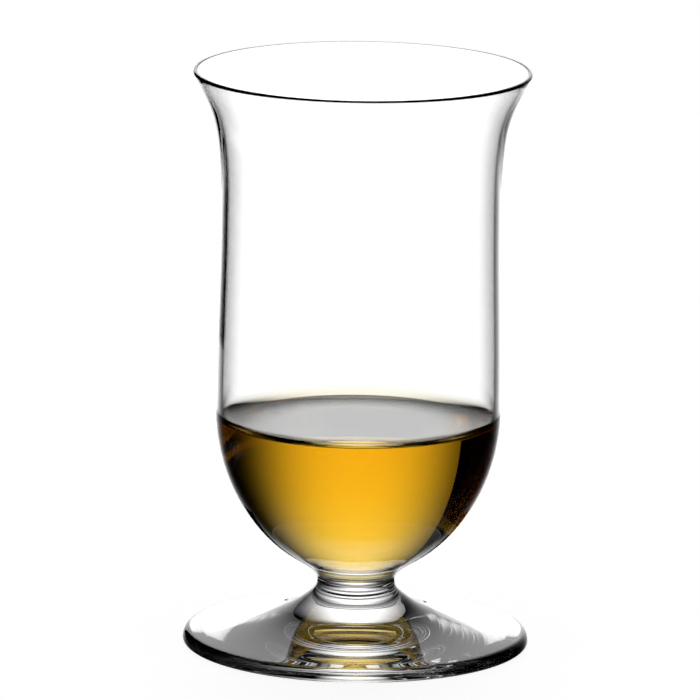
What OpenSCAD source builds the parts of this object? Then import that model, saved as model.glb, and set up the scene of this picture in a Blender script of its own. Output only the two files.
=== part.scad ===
// Short-stemmed whisky tasting glass: a thin bowl with a flared lip, fused to a waisted stem
// on a round foot, and the measure of whisky that it holds.
// Every piece is turned about the Z axis. The foot rests on the plane z = 0.

/* [Foot] */
// Diameter across the widest part of the edge
foot_d = 68.6; // [62:0.2:76]
// Thickness of the rounded edge
foot_edge_t = 2.7; // [2.2:0.1:3.6]
// Radius of the edge's lower corner
foot_corner_r = 0.8; // [0.4:0.1:1.2]
// Slope of the upper face just inside the edge, in degrees
foot_edge_slope = 7; // [3:1:10]
// Height of the foot at its seam with the stem
foot_h = 8.9; // [7.5:0.1:11]
// Width of the flat ring that rests on the table
rest_ring_w = 3.6; // [2:0.1:6]
// Height of the shallow hollow underneath, at its middle
hollow_h = 1.6; // [0.8:0.1:3]

/* [Stem] */
// Length on the axis, from the foot to the bowl
stem_h = 5.05; // [4.6:0.05:8]
// Diameter at the waist
waist_d = 15.2; // [13:0.2:18]
// Height of the waist above the foot's seam
waist_rise = 3.9; // [3:0.1:4.4]
// Diameter of the lower end, fused to the foot
stem_foot_d = 21; // [19:0.2:25]
// Slope of the stem's side at the foot's seam, in degrees
stem_foot_slope = 38; // [30:1:46]
// Diameter of the upper end, fused to the bowl
stem_bowl_d = 15.9; // [14.4:0.1:19]
// Slope of the stem's side at the bowl's seam, in degrees
stem_bowl_slope = 54; // [46:1:64]

/* [Bowl] */
// Diameter at which the solid knob under the bowl runs out into its rounded bottom
knob_d = 26; // [22:0.2:30]
// Outside diameter of the belly, the widest place of the body
belly_d = 56.4; // [50:0.1:64]
// Height of the rounded bottom, from the stem's seam to the belly
round_h = 33.55; // [28:0.05:40]
// Height of the body from the belly to the throat
body_h = 41; // [30:0.5:55]
// Outside diameter of the throat, the narrowest place of the body
throat_d = 55.2; // [49:0.1:60]
// Height of the flare from the throat to the rim
flare_h = 26.5; // [18:0.5:34]
// Outside diameter of the rim
rim_d = 66.5; // [60:0.1:76]
// Lean of the lip at the rim, in degrees from upright
lip_lean = 27; // [18:1:36]
// Thickness of the wall at the belly and the throat
wall_t = 1.4; // [0.8:0.05:2]
// Thickness of the rim, which is melted round
rim_t = 0.9; // [0.7:0.05:1.4]
// Thickness of the glass between the drink and the stem's seam
base_t = 5; // [2:0.1:7]

/* [Drink] */
// Depth of the whisky on the axis
drink_depth = 25.2; // [12:0.1:40]
// Height that the surface climbs where it wets the wall
meniscus_h = 2.8; // [1:0.1:4]
// Width of the zone along the wall in which it climbs
meniscus_w = 11; // [5:0.5:16]

/* [Hidden] */
$fn = 180;

// Steps in one curve of an outline
curve_steps = 14;
// Steps in the rounded bottom of the bowl
round_steps = 36;
// Steps in a small rounded edge
edge_steps = 8;
// Slope of the drink's surface where it meets the wall
meniscus_slope = 75;

foot_r = foot_d / 2;
waist_r = waist_d / 2;
stem_foot_r = stem_foot_d / 2;
stem_bowl_r = stem_bowl_d / 2;
knob_r = knob_d / 2;
belly_r = belly_d / 2;
throat_r = throat_d / 2;

// Heights above the table, stacked from the foot up
waist_z = foot_h + waist_rise;
bowl_z = foot_h + stem_h;
belly_z = bowl_z + round_h;
throat_z = belly_z + body_h;
rim_z = throat_z + flare_h;

// The cavity inside the bowl
cavity_r = belly_r - wall_t;
cavity_h = round_h - base_t;
cavity_z = bowl_z + base_t;
fill_z = cavity_z + drink_depth;

// Centre of the rim's round section
rim_c = [rim_d / 2 - rim_t / 2, rim_z - rim_t / 2];

// Length of a curve's handles, as a share of the distance that the curve spans
handle = 0.4;
short_handle = 0.33;
// The flare stays upright for longer, and then leans out
flare_handle = 0.62;
lip_handle = 0.31;
// The foot's upper face turns down early, beside the stem
foot_handle = 0.25;
// The drink's surface stays level for long, and then climbs
climb_handle = 0.71;
level_handle = 0.73;

// Where the knob runs out into the rounded bottom: the angle there, the point and the slope
knob_angle = asin(knob_r / belly_r);
knob_end = round_point(knob_angle);
knob_slope = atan(round_h / belly_r * tan(knob_angle));

function unit(angle) = [cos(angle), sin(angle)];

function bezier(a, b, c, d, steps = curve_steps) = [
    for (i = [0 : steps])
        let (t = i / steps, u = 1 - t)
        u * u * u * a + 3 * u * u * t * b + 3 * u * t * t * c + t * t * t * d
];

function arc(centre, radius, from, to, steps = edge_steps) = [
    for (i = [0 : steps])
        centre + radius * unit(from + (to - from) * i / steps)
];

function tail(points) = [for (i = [1 : len(points) - 1]) points[i]];

function backwards(points) = [for (i = [len(points) - 1 : -1 : 0]) points[i]];

// A point of the bowl's rounded bottom, by its angle from straight down
function round_point(angle) = [belly_r * sin(angle), belly_z - round_h * cos(angle)];

function round_outside() = [
    for (i = [0 : round_steps]) round_point(knob_angle + (90 - knob_angle) * i / round_steps)
];

function round_cavity() = [
    for (i = [0 : round_steps])
        let (angle = 90 * i / round_steps)
        [cavity_r * sin(angle), belly_z - cavity_h * cos(angle)]
];

// Body from belly to throat and flare from throat to lip, from below upwards
function body_and_flare(low_r, high_r, lip) = let (
    low = [low_r, belly_z],
    high = [high_r, throat_z],
    rise = [0, handle * body_h],
    bend = [0, flare_handle * flare_h],
    lean = lip_handle * flare_h * unit(90 - lip_lean)
) concat(
    tail(bezier(low, low + rise, high - rise, high)),
    tail(bezier(high, high + bend, lip - lean, lip))
);

// Fillet of the solid knob, from the stem's seam out to the rounded bottom
function knob_side() = let (
    seam = [stem_bowl_r, bowl_z],
    reach = short_handle * norm(knob_end - seam)
) bezier(
    seam,
    seam + reach * unit(stem_bowl_slope),
    knob_end - reach * unit(knob_slope),
    knob_end
);

function bowl_outside() = concat(
    knob_side(),
    tail(round_outside()),
    body_and_flare(belly_r, throat_r, rim_c + rim_t / 2 * unit(-lip_lean))
);

function bowl_inside() = concat(
    round_cavity(),
    body_and_flare(cavity_r, throat_r - wall_t, rim_c - rim_t / 2 * unit(-lip_lean))
);

function rim_round() = arc(rim_c, rim_t / 2, -lip_lean, 180 - lip_lean);

// Side of the stem, from the foot up past the waist to the bowl
function stem_side() = let (
    low = [stem_foot_r, foot_h],
    waist = [waist_r, waist_z],
    high = [stem_bowl_r, bowl_z],
    low_reach = handle * norm(waist - low),
    high_reach = handle * norm(high - waist)
) concat(
    bezier(low, low + low_reach * unit(180 - stem_foot_slope), waist - [0, low_reach], waist),
    tail(bezier(waist, waist + [0, high_reach], high - high_reach * unit(stem_bowl_slope), high))
);

// Upper face of the foot, from its rounded edge in to the stem
function foot_top() = let (
    edge_r = foot_edge_t - foot_corner_r,
    edge_c = [foot_r - edge_r, foot_corner_r],
    outer = edge_c + edge_r * unit(90 - foot_edge_slope),
    inner = [stem_foot_r, foot_h],
    width = foot_r - stem_foot_r
) concat(
    arc(edge_c, edge_r, 0, 90 - foot_edge_slope),
    tail(bezier(
        outer,
        outer + handle * width * unit(180 - foot_edge_slope),
        inner + foot_handle * width * unit(-stem_foot_slope),
        inner,
        2 * curve_steps
    ))
);

// Hollow under the foot: level on the axis, and down to the inner edge of the rest ring
function foot_hollow() = let (
    ring_r = foot_r - foot_corner_r - rest_ring_w,
    level = [short_handle * ring_r, 0],
    fall = [-short_handle * ring_r, short_handle * hollow_h]
) bezier([0, hollow_h], [0, hollow_h] + level, [ring_r, 0] + fall, [ring_r, 0]);

module foot() {
    color("gainsboro", 0.5)
        rotate_extrude()
            polygon(concat(
                foot_hollow(),
                arc([foot_r - foot_corner_r, foot_corner_r], foot_corner_r, -90, 0),
                tail(foot_top()),
                [[0, foot_h]]
            ));
}

module stem() {
    color("gainsboro", 0.5)
        rotate_extrude()
            polygon(concat(
                [[0, foot_h]],
                stem_side(),
                [[0, bowl_z]]
            ));
}

module bowl() {
    color("gainsboro", 0.35)
        rotate_extrude()
            polygon(concat(
                [[0, bowl_z]],
                bowl_outside(),
                tail(rim_round()),
                tail(backwards(bowl_inside()))
            ));
}

// Inside radius of the bowl at a height at or below the throat
function cavity_r_at(z) = z < belly_z
    ? cavity_r * sqrt(1 - pow((belly_z - z) / cavity_h, 2))
    : lookup(z, [for (p = bowl_inside()) if (p.y >= belly_z && p.y <= throat_z) [p.y, p.x]]);

// Everything below the drink's surface, which turns up at the wall
module below_surface() {
    contact_z = fill_z + meniscus_h;
    contact = [cavity_r_at(contact_z), contact_z];
    level = [contact.x - meniscus_w, fill_z];
    polygon(concat(
        [[0, cavity_z], [belly_r, cavity_z], [belly_r, contact_z]],
        bezier(
            contact,
            contact - climb_handle * meniscus_h * unit(meniscus_slope),
            level + [level_handle * meniscus_w, 0],
            level
        ),
        [[0, fill_z]]
    ));
}

module whisky() {
    color("goldenrod", 0.8)
        rotate_extrude()
            intersection() {
                polygon(concat(bowl_inside(), [[0, rim_z]]));
                below_surface();
            }
}

foot();
stem();
bowl();
whisky();
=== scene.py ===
# %% [markdown]
# # A short-stemmed whisky tasting glass
# The frame holds the solids of the glass: a foot, a stem and a bowl that are fused, and the whisky in
# the bowl. Glass shows hardly any colour of its own. What the eye sees is bent light, so facets and
# doubled walls would show at once. This lesson draws each piece again as a smooth turned form of the
# same size, makes it clear glass or clear whisky, and lights it as a glass is lit in a studio: white
# behind it, and dark at its sides.

# %% Load the frame
import math

import bpy
from mathutils import Matrix, Vector


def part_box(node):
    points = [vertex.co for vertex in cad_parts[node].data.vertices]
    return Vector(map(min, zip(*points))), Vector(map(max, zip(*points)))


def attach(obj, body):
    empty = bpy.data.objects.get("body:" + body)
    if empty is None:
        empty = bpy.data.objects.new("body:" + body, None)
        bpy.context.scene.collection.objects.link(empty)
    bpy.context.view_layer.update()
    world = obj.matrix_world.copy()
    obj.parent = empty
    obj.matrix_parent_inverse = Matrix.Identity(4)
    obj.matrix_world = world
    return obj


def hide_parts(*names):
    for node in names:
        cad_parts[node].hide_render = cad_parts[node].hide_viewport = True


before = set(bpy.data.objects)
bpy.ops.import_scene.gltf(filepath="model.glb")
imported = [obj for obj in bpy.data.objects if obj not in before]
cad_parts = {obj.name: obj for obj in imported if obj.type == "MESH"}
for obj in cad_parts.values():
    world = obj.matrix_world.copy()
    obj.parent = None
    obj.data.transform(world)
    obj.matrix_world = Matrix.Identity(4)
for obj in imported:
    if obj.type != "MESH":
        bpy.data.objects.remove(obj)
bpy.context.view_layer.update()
print("Nodes in the frame:", sorted(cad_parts))

# %% [markdown]
# ## Sizes
# The heights and the outer radii are read off the frame, so the pieces land where the solids are. The
# other sizes are those of the solids, in millimetres: how thick the wall is, how far the lip leans, and
# so on. Slopes and leans are in degrees.

# %% Sizes of the glass
MM = 0.001

FOOT_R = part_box("foot")[1].x
FOOT_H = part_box("foot")[1].z
FOOT_EDGE_T = 2.7 * MM
FOOT_CORNER_R = 0.8 * MM
FOOT_EDGE_SLOPE = 7
REST_RING_W = 3.6 * MM
HOLLOW_H = 1.6 * MM

STEM_FOOT_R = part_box("stem")[1].x
WAIST_R = 7.6 * MM
WAIST_Z = FOOT_H + 3.9 * MM
STEM_FOOT_SLOPE = 38
STEM_BOWL_R = 7.95 * MM
STEM_BOWL_SLOPE = 54

BOWL_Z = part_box("bowl")[0].z
RIM_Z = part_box("bowl")[1].z
RIM_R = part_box("bowl")[1].x
KNOB_R = 13 * MM
BELLY_R = 28.2 * MM
BELLY_Z = BOWL_Z + 33.55 * MM
THROAT_R = 27.6 * MM
THROAT_Z = BELLY_Z + 41 * MM
LIP_LEAN = 27
WALL_T = 1.4 * MM
RIM_T = 0.9 * MM

CAVITY_R = BELLY_R - WALL_T
CAVITY_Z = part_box("whisky")[0].z
CONTACT_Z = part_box("whisky")[1].z
MENISCUS_H = 2.8 * MM
MENISCUS_W = 11 * MM
MENISCUS_SLOPE = 75
FILL_Z = CONTACT_Z - MENISCUS_H

print(f"Foot {2 * FOOT_R / MM:.1f} mm, rim {2 * RIM_R / MM:.1f} mm, height {RIM_Z / MM:.1f} mm")

# %% [markdown]
# ## Drawing half a section
# Every piece is turned about one axis, so half of its section says everything. It could be drawn by
# extruding a vertex point by point. A Bezier curve is better here: a few knots with handles give the
# same smooth line that a glassmaker's template has. A knot is a place, the handle that arrives there and
# the handle that leaves. The spin tool then turns the line once round the axis. Spin leaves a seam and
# many points at the poles, so doubles are merged before the normals are made to point outwards.

# %% Tools for turned pieces
CURVE_STEPS = 18
TURN_STEPS = 240
MERGE_WITHIN = 0.0005 * MM
SMOOTH_BELOW = math.radians(30)
NONE = Vector((0, 0))


def at(radius, height):
    """A place in the half-section."""
    return Vector((radius, height))


def towards(angle, length=1.0):
    """A step in the half-section, at an angle in degrees from straight outwards."""
    return length * Vector((math.cos(math.radians(angle)), math.sin(math.radians(angle))))


def arc_reach(turn, radius=1.0):
    """Length of the handles that make a curve follow a round arc through that many degrees."""
    return radius * 4 / 3 * math.tan(math.radians(turn) / 4)


def draw_half_section(name, knots):
    """Draws knots of (place, arriving handle, leaving handle) as one curve, and makes it a line of edges."""
    bpy.ops.object.select_all(action="DESELECT")
    bpy.ops.curve.primitive_bezier_curve_add(location=(0, 0, 0))
    line = bpy.context.object
    line.name = line.data.name = name
    spline = line.data.splines[0]
    spline.bezier_points.add(len(knots) - len(spline.bezier_points))
    for point, (place, arriving, leaving) in zip(spline.bezier_points, knots):
        point.handle_left_type = point.handle_right_type = "FREE"
        point.co = (place.x, 0, place.y)
        point.handle_left = point.co + Vector((arriving.x, 0, arriving.y))
        point.handle_right = point.co + Vector((leaving.x, 0, leaving.y))
    line.data.resolution_u = CURVE_STEPS
    bpy.ops.object.convert(target="MESH")
    return bpy.context.object


def turn_round(piece):
    """Spins the line of edges once round the axis, and closes and smooths the form."""
    bpy.ops.object.mode_set(mode="EDIT")
    bpy.ops.mesh.select_all(action="SELECT")
    bpy.ops.mesh.spin(steps=TURN_STEPS, angle=math.tau, center=(0, 0, 0), axis=(0, 0, 1))
    bpy.ops.mesh.select_all(action="SELECT")
    bpy.ops.mesh.remove_doubles(threshold=MERGE_WITHIN)
    bpy.ops.mesh.normals_make_consistent(inside=False)
    bpy.ops.object.mode_set(mode="OBJECT")
    bpy.ops.object.shade_smooth_by_angle(angle=SMOOTH_BELOW)
    print(f"{piece.name}: {len(piece.data.vertices)} points, {len(piece.data.polygons)} faces")
    return piece


print("Turned pieces take", TURN_STEPS, "steps round the axis")

# %% [markdown]
# ## Foot
# The foot is pressed while the glass is soft. Its edge is rounded by the fire, its upper face rises to
# the stem in one sweep, and underneath a shallow hollow leaves only a ring to stand on. The line starts
# at the top of the hollow, runs out to the ring, round the edge, and back in over the upper face to the
# seam with the stem. The length of a handle is a share of the distance that its curve spans.

# %% Foot
HANDLE = 0.4
SHORT_HANDLE = 0.33
FOOT_HANDLE = 0.25

foot_edge_r = FOOT_EDGE_T - FOOT_CORNER_R
foot_edge_turn = 90 - FOOT_EDGE_SLOPE
foot_ring_r = FOOT_R - FOOT_CORNER_R - REST_RING_W
foot_width = FOOT_R - STEM_FOOT_R
foot_brow = at(FOOT_R - foot_edge_r, FOOT_CORNER_R) + towards(foot_edge_turn, foot_edge_r)
brow_reach = towards(180 - FOOT_EDGE_SLOPE, HANDLE * foot_width)
corner_reach = arc_reach(90, FOOT_CORNER_R)
edge_reach = arc_reach(foot_edge_turn, foot_edge_r)
hollow_reach = SHORT_HANDLE * foot_ring_r

foot = turn_round(draw_half_section("foot_glass", [
    (at(0, HOLLOW_H), NONE, at(hollow_reach, 0)),
    (at(foot_ring_r, 0), at(-hollow_reach, SHORT_HANDLE * HOLLOW_H), NONE),
    (at(FOOT_R - FOOT_CORNER_R, 0), NONE, at(corner_reach, 0)),
    (at(FOOT_R, FOOT_CORNER_R), at(0, -corner_reach), at(0, edge_reach)),
    (foot_brow, towards(foot_edge_turn - 90, edge_reach), brow_reach),
    (at(STEM_FOOT_R, FOOT_H), towards(-STEM_FOOT_SLOPE, FOOT_HANDLE * foot_width), NONE),
    (at(0, FOOT_H), NONE, NONE),
]))

# %% [markdown]
# ## Stem
# The stem is a short solid spool. It spreads at both ends, where it is fused to the foot and to the
# bowl, and the curve arrives at each seam with the same slope as the neighbour's, so that no crease
# shows.

# %% Stem
stem_low = at(STEM_FOOT_R, FOOT_H)
stem_waist = at(WAIST_R, WAIST_Z)
stem_high = at(STEM_BOWL_R, BOWL_Z)
low_reach = HANDLE * (stem_waist - stem_low).length
high_reach = HANDLE * (stem_high - stem_waist).length

stem = turn_round(draw_half_section("stem_glass", [
    (at(0, FOOT_H), NONE, NONE),
    (stem_low, NONE, towards(180 - STEM_FOOT_SLOPE, low_reach)),
    (stem_waist, at(0, -low_reach), at(0, high_reach)),
    (stem_high, towards(STEM_BOWL_SLOPE + 180, high_reach), NONE),
    (at(0, BOWL_Z), NONE, NONE),
]))

# %% [markdown]
# ## Bowl
# The bowl is blown thin. Its rounded bottom is half an ellipse, and the solid knob under it runs out
# into that round. The body draws in a little to the throat, and the lip flares out to a rim that the
# fire has melted round. A solid wall could be made with a Solidify modifier, but this wall is thick at
# the knob and thin at the rim, so both of its faces are drawn. The inner line has a knot where the
# whisky meets the wall: the glass below it is wet.

# %% Bowl
FLARE_HANDLE = 0.62
LIP_HANDLE = 0.31

round_h = BELLY_Z - BOWL_Z
cavity_h = BELLY_Z - CAVITY_Z
flare_h = RIM_Z - THROAT_Z
body_reach = at(0, HANDLE * (THROAT_Z - BELLY_Z))
flare_reach = at(0, FLARE_HANDLE * flare_h)
lip_reach = towards(90 - LIP_LEAN, LIP_HANDLE * flare_h)
rim_middle = at(RIM_R - RIM_T / 2, RIM_Z - RIM_T / 2)
rim_reach = arc_reach(90, RIM_T / 2)


def oval(angle, radius, height):
    """A place on an oval bottom that ends at the belly, by its angle from straight down."""
    turn = math.radians(angle)
    return at(radius * math.sin(turn), BELLY_Z - height * math.cos(turn))


def oval_reach(angle, span, radius, height):
    """The handle along the oval there, for a stretch that spans so many degrees."""
    turn = math.radians(angle)
    return arc_reach(span) * at(radius * math.cos(turn), height * math.sin(turn))


def rim_at(angle):
    """A place on the rim's round section, by its angle from straight outwards."""
    return rim_middle + towards(angle, RIM_T / 2)


knob_angle = math.degrees(math.asin(KNOB_R / BELLY_R))
knob_end = oval(knob_angle, BELLY_R, round_h)
knob_slope = math.degrees(math.atan(round_h / BELLY_R * math.tan(math.radians(knob_angle))))
knob_reach = SHORT_HANDLE * (knob_end - stem_high).length
round_span = 90 - knob_angle
contact_angle = math.degrees(math.acos((BELLY_Z - CONTACT_Z) / cavity_h))
contact = oval(contact_angle, CAVITY_R, cavity_h)
dry_span = 90 - contact_angle

bowl = turn_round(draw_half_section("bowl_glass", [
    (at(0, BOWL_Z), NONE, NONE),
    (stem_high, NONE, towards(STEM_BOWL_SLOPE, knob_reach)),
    (knob_end, towards(knob_slope + 180, knob_reach), oval_reach(knob_angle, round_span, BELLY_R, round_h)),
    (at(BELLY_R, BELLY_Z), -oval_reach(90, round_span, BELLY_R, round_h), body_reach),
    (at(THROAT_R, THROAT_Z), -body_reach, flare_reach),
    (rim_at(-LIP_LEAN), -lip_reach, towards(90 - LIP_LEAN, rim_reach)),
    (rim_at(90 - LIP_LEAN), towards(-LIP_LEAN, rim_reach), towards(180 - LIP_LEAN, rim_reach)),
    (rim_at(180 - LIP_LEAN), towards(90 - LIP_LEAN, rim_reach), -lip_reach),
    (at(THROAT_R - WALL_T, THROAT_Z), flare_reach, -body_reach),
    (at(CAVITY_R, BELLY_Z), body_reach, -oval_reach(90, dry_span, CAVITY_R, cavity_h)),
    (contact, oval_reach(contact_angle, dry_span, CAVITY_R, cavity_h),
     -oval_reach(contact_angle, contact_angle, CAVITY_R, cavity_h)),
    (at(0, CAVITY_Z), oval_reach(0, contact_angle, CAVITY_R, cavity_h), NONE),
]))

# %% [markdown]
# ## Whisky
# A liquid wets glass, so its surface climbs a little at the wall: level over most of its width, then
# steeper and steeper. Between two clear pieces a gap of air would act as a mirror. The drink is
# therefore drawn a hair larger than the cavity: light that passes the drink's face and the glass's face
# one after the other bends as it does where whisky and glass truly touch.

# %% Whisky
SOAK = 0.04 * MM
CLIMB_HANDLE = 0.71
LEVEL_HANDLE = 0.73

level_edge = at(contact.x - MENISCUS_W, FILL_Z)
soaked_r = CAVITY_R + SOAK
soaked_h = cavity_h + SOAK
soaked_angle = math.degrees(math.acos((BELLY_Z - CONTACT_Z) / soaked_h))
soaked_edge = oval(soaked_angle, soaked_r, soaked_h)

whisky = turn_round(draw_half_section("whisky_measure", [
    (at(0, CAVITY_Z - SOAK), NONE, oval_reach(0, soaked_angle, soaked_r, soaked_h)),
    (soaked_edge, -oval_reach(soaked_angle, soaked_angle, soaked_r, soaked_h), NONE),
    (contact, NONE, towards(MENISCUS_SLOPE + 180, CLIMB_HANDLE * MENISCUS_H)),
    (level_edge, at(LEVEL_HANDLE * MENISCUS_W, 0), NONE),
    (at(0, FILL_Z), NONE, NONE),
]))

# %% [markdown]
# ## Clear materials
# Glass and whisky are smooth faces that bend light, so both get full transmission with a refractive
# index. A Glass shader would look alike, but the Principled shader's sockets carry over when the model
# is exported. No real glass is perfect, though: its polish and its tint change a little from place to
# place, and a blown wall is a touch uneven. All of it comes from noise that is fixed to the piece, and
# stays so faint that the edges of things seen through it stay sharp.

# %% Tools for clear materials
POLISH_SIZE = 180
WAVE_SIZE = 35
WAVE_DEPTH = 0.1 * MM
CLEAR = (1, 1, 1, 1)


def start_material(name):
    """A new material, and its shader."""
    material = bpy.data.materials.new(name)
    material.use_nodes = True
    return material, material.node_tree.nodes["Principled BSDF"]


def cloud(tree, scale):
    """Soft noise that is fixed to the piece."""
    place = tree.nodes.new("ShaderNodeTexCoord")
    noise = tree.nodes.new("ShaderNodeTexNoise")
    noise.inputs["Scale"].default_value = scale
    noise.inputs["Detail"].default_value = 0.0
    tree.links.new(place.outputs["Object"], noise.inputs["Vector"])
    return noise.outputs["Fac"]


def tint(tree, shader, shade):
    """Lets the colour of a clear face drift from a faint shade to none."""
    ramp = tree.nodes.new("ShaderNodeValToRGB")
    ramp.color_ramp.elements[0].color = shade
    ramp.color_ramp.elements[1].color = CLEAR
    tree.links.new(cloud(tree, WAVE_SIZE), ramp.inputs["Fac"])
    tree.links.new(ramp.outputs["Color"], shader.inputs["Base Color"])


def polish(tree, shader, roughest, waviness):
    """Gives a clear face its faint changes of polish and its faint waves."""
    haze = tree.nodes.new("ShaderNodeMapRange")
    haze.inputs["To Max"].default_value = roughest
    tree.links.new(cloud(tree, POLISH_SIZE), haze.inputs["Value"])
    tree.links.new(haze.outputs["Result"], shader.inputs["Roughness"])
    wave = tree.nodes.new("ShaderNodeBump")
    wave.inputs["Strength"].default_value = waviness
    wave.inputs["Distance"].default_value = WAVE_DEPTH
    tree.links.new(cloud(tree, WAVE_SIZE), wave.inputs["Height"])
    tree.links.new(wave.outputs["Normal"], shader.inputs["Normal"])


def bend_light(shader, index, mirror_level):
    """Lets a face pass light through, bend it, and mirror some of it."""
    shader.inputs["IOR"].default_value = index
    shader.inputs["Transmission Weight"].default_value = 1.0
    shader.inputs["Specular Tint"].default_value = (mirror_level, mirror_level, mirror_level, 1)


print(f"Waves in a clear face: {WAVE_DEPTH / MM:.1f} mm at most")

# %% [markdown]
# ## Clear glass
# The foot, the stem and the bowl are one kind of glass. They could share a material, but each gets its
# own, so that one piece can be changed without the others.

# %% Clear glass
GLASS_INDEX = 1.52
GLASS_SHADE = (0.99, 0.995, 0.99, 1)
GLASS_HAZE = 0.02
GLASS_WAVES = 0.05


def clear_glass(name, mirror_level=1.0):
    material, shader = start_material(name)
    tint(material.node_tree, shader, GLASS_SHADE)
    polish(material.node_tree, shader, GLASS_HAZE, GLASS_WAVES)
    bend_light(shader, GLASS_INDEX, mirror_level)
    print(f"{name}: index {GLASS_INDEX}, mirror {mirror_level}")
    return material


foot.data.materials.append(clear_glass("foot_clear_glass"))
stem.data.materials.append(clear_glass("stem_clear_glass"))
bowl.data.materials.append(clear_glass("bowl_clear_glass"))

# %% [markdown]
# ## Wet glass and fused seams
# Where whisky wets the glass, the two bend light almost alike and hardly any of it is mirrored, so the
# wet inside of the bowl is the same glass without its mirror. Where two pieces were fused, nothing is
# left to see at all, so the faces that lie inside the glass let light straight through.

# %% Wet glass and fused seams
FLAT = 0.999


def fused_seam():
    material = start_material("fused_seam")[0]
    tree = material.node_tree
    straight_through = tree.nodes.new("ShaderNodeBsdfTransparent")
    tree.links.new(straight_through.outputs["BSDF"], tree.nodes["Material Output"].inputs["Surface"])
    return material


def paint_faces(piece, material, belongs):
    """Gives a material to the faces of a piece that belong to it."""
    piece.data.materials.append(material)
    slot = len(piece.data.materials) - 1
    painted = [face for face in piece.data.polygons if belongs(face)]
    for face in painted:
        face.material_index = slot
    print(f"{piece.name}: {len(painted)} faces of {material.name}")


def lies_in_a_seam(face):
    """Whether a face is flat and lies where two pieces were fused."""
    on_a_seam = any(abs(face.center.z - height) < MERGE_WITHIN for height in (FOOT_H, BOWL_Z))
    return on_a_seam and abs(face.normal.z) > FLAT


def is_wet(face):
    """Whether a face of the bowl lies inside it, below the drink's edge."""
    return face.center.z < CONTACT_Z and face.normal.z > 0


seam = fused_seam()
for piece in (foot, stem, bowl):
    paint_faces(piece, seam, lies_in_a_seam)
paint_faces(bowl, clear_glass("bowl_wet_glass", 0.0), is_wet)

# %% [markdown]
# ## Amber whisky
# The colour of a drink comes from its depth: every millimetre takes away some blue and a little green.
# Painting the surface amber would look like plastic, so the colour is an absorption inside the piece.
# The face itself is clear, and as it lies against glass it mirrors nothing. Only the open surface does,
# and it gets a clear coat for that. How much of the coat a face has is kept with the mesh, as an
# attribute that the material reads.

# %% Amber whisky
WHISKY_INDEX = 1.36
WHISKY_SHADE = (1, 0.99, 0.97, 1)
WHISKY_HAZE = 0.01
WHISKY_WAVES = 0.02
AMBER = (0.916, 0.766, 0.0, 1)
AMBER_PER_METRE = 100
OPEN_SURFACE = "open_surface"


def amber_whisky():
    material, shader = start_material("amber_whisky")
    tree = material.node_tree
    tint(tree, shader, WHISKY_SHADE)
    polish(tree, shader, WHISKY_HAZE, WHISKY_WAVES)
    bend_light(shader, WHISKY_INDEX, 0.0)
    shader.inputs["Coat IOR"].default_value = WHISKY_INDEX
    shader.inputs["Coat Roughness"].default_value = 0.0
    coat = tree.nodes.new("ShaderNodeAttribute")
    coat.attribute_name = OPEN_SURFACE
    tree.links.new(coat.outputs["Fac"], shader.inputs["Coat Weight"])
    depth = tree.nodes.new("ShaderNodeVolumeAbsorption")
    depth.inputs["Color"].default_value = AMBER
    depth.inputs["Density"].default_value = AMBER_PER_METRE
    tree.links.new(depth.outputs["Volume"], tree.nodes["Material Output"].inputs["Volume"])
    print(f"{material.name}: index {WHISKY_INDEX}, lets through {AMBER[:3]}")
    return material


whisky.data.materials.append(amber_whisky())

# %% [markdown]
# ## Open surface
# The level middle of the drink mirrors the light behind it and looks grey. Where the surface climbs the
# wall it turns away from that light. The coat fades out there within a few degrees, so the drink's edge
# stays a thin dark line.

# %% Open surface
LEVEL_COAT = 0.9
COAT_ENDS_AT = 9


def coat_share(face):
    """How much of the clear coat a face has, by how many degrees it climbs."""
    climb = math.degrees(math.acos(max(-1.0, min(1.0, face.normal.z))))
    return LEVEL_COAT * max(0.0, 1 - climb / COAT_ENDS_AT)


open_surface = whisky.data.attributes.new(OPEN_SURFACE, "FLOAT", "FACE")
for face in whisky.data.polygons:
    open_surface.data[face.index].value = coat_share(face)
print("Open surface:", sum(1 for share in open_surface.data if share.value), "faces")

# %% [markdown]
# ## Pieces take the solids' places
# The glass doesn't move, so all pieces ride on the root. Each one replaces the solid that it was drawn
# from.

# %% Pieces take the solids' places
for piece, node, slot in (
    (foot, "foot", "foot_glass"),
    (stem, "stem", "stem_glass"),
    (bowl, "bowl", "bowl_glass"),
    (whisky, "whisky", "whisky"),
):
    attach(piece, "root")
    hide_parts(node)
    print(f"{piece.name} replaces {node}")

# %% [markdown]
# ## Camera
# The picture was taken with a long lens from a little above the rim, which keeps the upright lines of
# the bowl parallel. The camera is also turned a touch about its own line of sight, because the glass
# leans in the picture.

# %% Camera
CAMERA_DISTANCE = 1.637
CAMERA_RISE = math.radians(12.2)
CAMERA_ROLL = math.radians(0.785)
AIM = Vector((-1.8 * MM, 0, 59 * MM))
SENSOR_WIDTH = 36
LENS = 427.16

from_aim = Vector((0, -math.cos(CAMERA_RISE), math.sin(CAMERA_RISE)))
looking = (-from_aim).to_track_quat("-Z", "Y").to_matrix() @ Matrix.Rotation(CAMERA_ROLL, 3, "Z")
bpy.ops.object.camera_add(location=AIM + CAMERA_DISTANCE * from_aim, rotation=looking.to_euler())
camera = bpy.context.object
camera.data.sensor_width = SENSOR_WIDTH
camera.data.lens = LENS
scene = bpy.context.scene
scene.camera = camera
print("Camera at", [round(c, 3) for c in camera.location])

# %% [markdown]
# ## Studio light
# A glass is lit from behind: a soft white strip stands in its back, and the sides stay dark, so that the
# edges of the glass, which bend light in from the sides, are drawn as dark lines. Lamps with cards could
# do this, but the world itself can hold the light. Its nodes know only a direction, so the first step
# turns that into a bearing, counted from straight behind the glass to the left, and a height, both in
# degrees.

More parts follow.
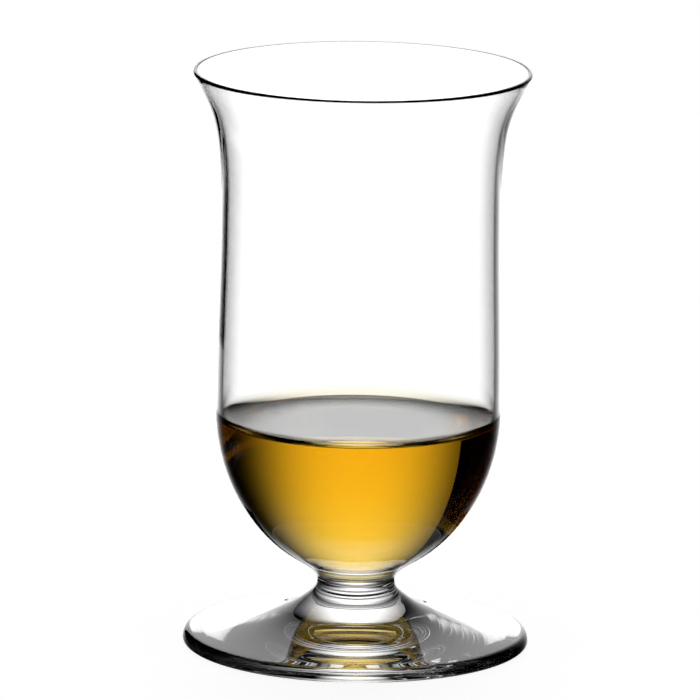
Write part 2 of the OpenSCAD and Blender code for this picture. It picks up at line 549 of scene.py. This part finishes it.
# %% Directions in the studio
world = bpy.data.worlds.new("studio")
world.use_nodes = True
scene.world = world
studio = world.node_tree
scene.view_settings.view_transform = "Standard"


def work_out(operation, *values):
    """One step of arithmetic on the studio's light."""
    node = studio.nodes.new("ShaderNodeMath")
    node.operation = operation
    for socket, value in zip(node.inputs, values):
        if isinstance(value, (int, float)):
            socket.default_value = value
        else:
            studio.links.new(value, socket)
    return node.outputs[0]


def rise_between(value, low, high):
    """Goes softly from 0 to 1 between two values."""
    node = studio.nodes.new("ShaderNodeMapRange")
    node.interpolation_type = "SMOOTHSTEP"
    node.inputs["From Min"].default_value = low
    node.inputs["From Max"].default_value = high
    studio.links.new(value, node.inputs["Value"])
    return node.outputs[0]


def fall_between(value, low, high):
    """Goes softly from 1 to 0 between two values."""
    return work_out("SUBTRACT", 1, rise_between(value, low, high))


sky = studio.nodes.new("ShaderNodeTexCoord")
sky_axes = studio.nodes.new("ShaderNodeSeparateXYZ")
studio.links.new(sky.outputs["Generated"], sky_axes.inputs["Vector"])
sky_x, sky_y, sky_z = sky_axes.outputs
bearing = work_out("DEGREES", work_out("ARCTAN2", work_out("MULTIPLY", sky_x, -1), sky_y))
height = work_out("DEGREES", work_out("ARCSINE", sky_z))
print("Directions take", len(studio.nodes), "nodes")

# %% [markdown]
# ## Strip behind the glass
# The strip is a soft bell over the bearing, with limits in height. It is a little narrower and dimmer
# low down, where the foot bends the view, and dims again high up. Two more lights join it. A soft light
# overhead falls into the bowl. The pale table shines where the rounded bottom bends the view steeply
# down, but not from the front, where the foot would glow.

# %% Strip behind the glass
BELL_SHAPE = 2.36
SOFT_EDGE = 1
LOW_SPREAD = 13.3
MORE_SPREAD = 1.7
LOW_GLOW = 1.18
MORE_GLOW = 0.42
LESS_GLOW_HIGH = 0.24
OVERHEAD_GLOW = 0.8
TABLE_GLOW = 0.55


def strip(centre, spread, strength, lowest, highest):
    """A soft upright strip of light, between two heights."""
    away = work_out("WRAP", work_out("SUBTRACT", bearing, centre), 180, -180)
    share = work_out("POWER", work_out("ABSOLUTE", work_out("DIVIDE", away, spread)), BELL_SHAPE)
    bell = work_out("EXPONENT", work_out("MULTIPLY", share, -0.5))
    above = rise_between(height, lowest - SOFT_EDGE, lowest + SOFT_EDGE)
    below = fall_between(height, highest - SOFT_EDGE, highest + SOFT_EDGE)
    return work_out("MULTIPLY", work_out("MULTIPLY", bell, strength), work_out("MULTIPLY", above, below))


wider_above = work_out("MULTIPLY", rise_between(height, -25, -12), MORE_SPREAD)
brighter_above = work_out("MULTIPLY", rise_between(height, -26, -14), MORE_GLOW)
dimmer_high = work_out("MULTIPLY", rise_between(height, -10, 35), LESS_GLOW_HIGH)
glow_behind = work_out("SUBTRACT", work_out("ADD", brighter_above, LOW_GLOW), dimmer_high)
behind = strip(0, work_out("ADD", wider_above, LOW_SPREAD), glow_behind, -46, 60)
overhead = work_out("MULTIPLY", rise_between(height, 70, 80), OVERHEAD_GLOW)
steeply_down = rise_between(work_out("MULTIPLY", height, -1), 38, 64)
not_in_front = fall_between(work_out("ABSOLUTE", bearing), 50, 110)
table = work_out("MULTIPLY", work_out("MULTIPLY", steeply_down, not_in_front), TABLE_GLOW)
light = work_out("MAXIMUM", behind, work_out("ADD", overhead, table))
print("Strip, overhead light and table take", len(studio.nodes), "nodes")

# %% [markdown]
# ## Light for someone who walks round
# From another side, the dark part of the studio is behind the glass, and a clear bowl in front of black
# looks black. So a fainter strip stands behind it there too, and a higher one where the round drink,
# which is a lens, bends the view up. Only light that passes through the glass sees these strips. The
# mirrors in it don't, which keeps the edges dark from the front. Past the glass, the camera sees plain
# white. A strip's measures are its bearing, spread, strength, lowest and highest height.

# %% Light for someone who walks round
SIDE_STRIPS = {
    "behind on the left": (45, 10, 0.8, -28.5, -22.3),
    "on the left": (90, 9, 0.8, -7, 5),
    "higher, on the left": (108, 11, 0.65, -5, 24),
    "in front on the right": (-135, 9, 0.85, -15.7, -12.6),
    "higher, in front on the right": (-137, 11, 0.65, -5, 30),
}

paths = studio.nodes.new("ShaderNodeLightPath")
passed_through = paths.outputs["Is Transmission Ray"]
seen_directly = paths.outputs["Is Camera Ray"]
for place, measures in SIDE_STRIPS.items():
    light = work_out("MAXIMUM", light, work_out("MULTIPLY", strip(*measures), passed_through))
    print("Strip", place, measures)
light = work_out("MULTIPLY", light, work_out("SUBTRACT", 1, seen_directly))
light = work_out("ADD", light, seen_directly)
studio.links.new(light, studio.nodes["Background"].inputs["Strength"])
studio.nodes["Background"].inputs["Color"].default_value = (1, 1, 1, 1)

# %% [markdown]
# ## Black cards
# A photographer of glass sets black cards close to it, just out of the picture. One stands behind on the
# left and draws the hard dark edge in the whisky on the right. The other lies on the table behind the
# foot, where the light that the whisky's surface bends downwards would end, and keeps that surface grey.
# Only the glass sees them. Their places and sizes are in millimetres, and their turns in degrees.

# %% Black cards
black_paper, black_shader = start_material("black_paper")
black_shader.inputs["Base Color"].default_value = (0, 0, 0, 1)
black_shader.inputs["Specular IOR Level"].default_value = 0.0


def black_card(name, middle, width, length, turn):
    bpy.ops.object.select_all(action="DESELECT")
    turned = [math.radians(angle) for angle in turn]
    bpy.ops.mesh.primitive_plane_add(size=1, location=MM * Vector(middle), rotation=turned)
    card = bpy.context.object
    card.name = name
    card.scale = (width * MM, length * MM, 1)
    card.data.materials.append(black_paper)
    card.visible_camera = False
    card.visible_diffuse = False
    card.visible_shadow = False
    print(f"{name}: {width} x {length} mm")


black_card("left_card", middle=(-189.5, 224.5, 152), width=167, length=300, turn=(90, 0, 32.3))
black_card("table_card", middle=(0, 48.5, -1), width=90, length=27, turn=(0, 0, 0))

# %% [markdown]
# ## Floor
# The floor is plain and white. Most of its white is its own glow, and the rest is light that falls on
# it, so that the glass still leaves a soft shadow. The glass doesn't see the floor, because its white
# would wash out the dark edges. It lies a hair below the foot, so that the two don't share a plane.

# %% Floor
FLOOR_SIZE = 8
FLOOR_GAP = 0.02 * MM
FLOOR_GLOW = 0.93
FLOOR_WHITE = 0.45

bpy.ops.object.select_all(action="DESELECT")
bpy.ops.mesh.primitive_plane_add(size=FLOOR_SIZE, location=(0, 0, -FLOOR_GAP))
floor = bpy.context.object
floor.name = "floor"
white_floor, floor_shader = start_material("white_floor")
floor_shader.inputs["Base Color"].default_value = (FLOOR_WHITE, FLOOR_WHITE, FLOOR_WHITE, 1)
floor_shader.inputs["Roughness"].default_value = 1.0
floor_shader.inputs["Specular IOR Level"].default_value = 0.0
floor_shader.inputs["Emission Color"].default_value = (1, 1, 1, 1)
floor_shader.inputs["Emission Strength"].default_value = FLOOR_GLOW
floor.data.materials.append(white_floor)
floor.visible_glossy = False
floor.visible_transmission = False
print(f"Floor: glow {FLOOR_GLOW}, colour {FLOOR_WHITE}")

# %% [markdown]
# ## Paths of light
# A ray crosses many faces in a glass: two walls, the whisky twice, the foot, and mirrors on the way.
# With few bounces it would end in black, so it gets enough of them. Light that is focused through glass
# onto the floor takes very many samples, and the floor needs none of it.

# %% Paths of light
scene.cycles.max_bounces = 32
scene.cycles.transmission_bounces = 32
scene.cycles.glossy_bounces = 16
scene.cycles.transparent_max_bounces = 16
scene.cycles.caustics_reflective = False
scene.cycles.caustics_refractive = False
print("Bounces:", scene.cycles.max_bounces)
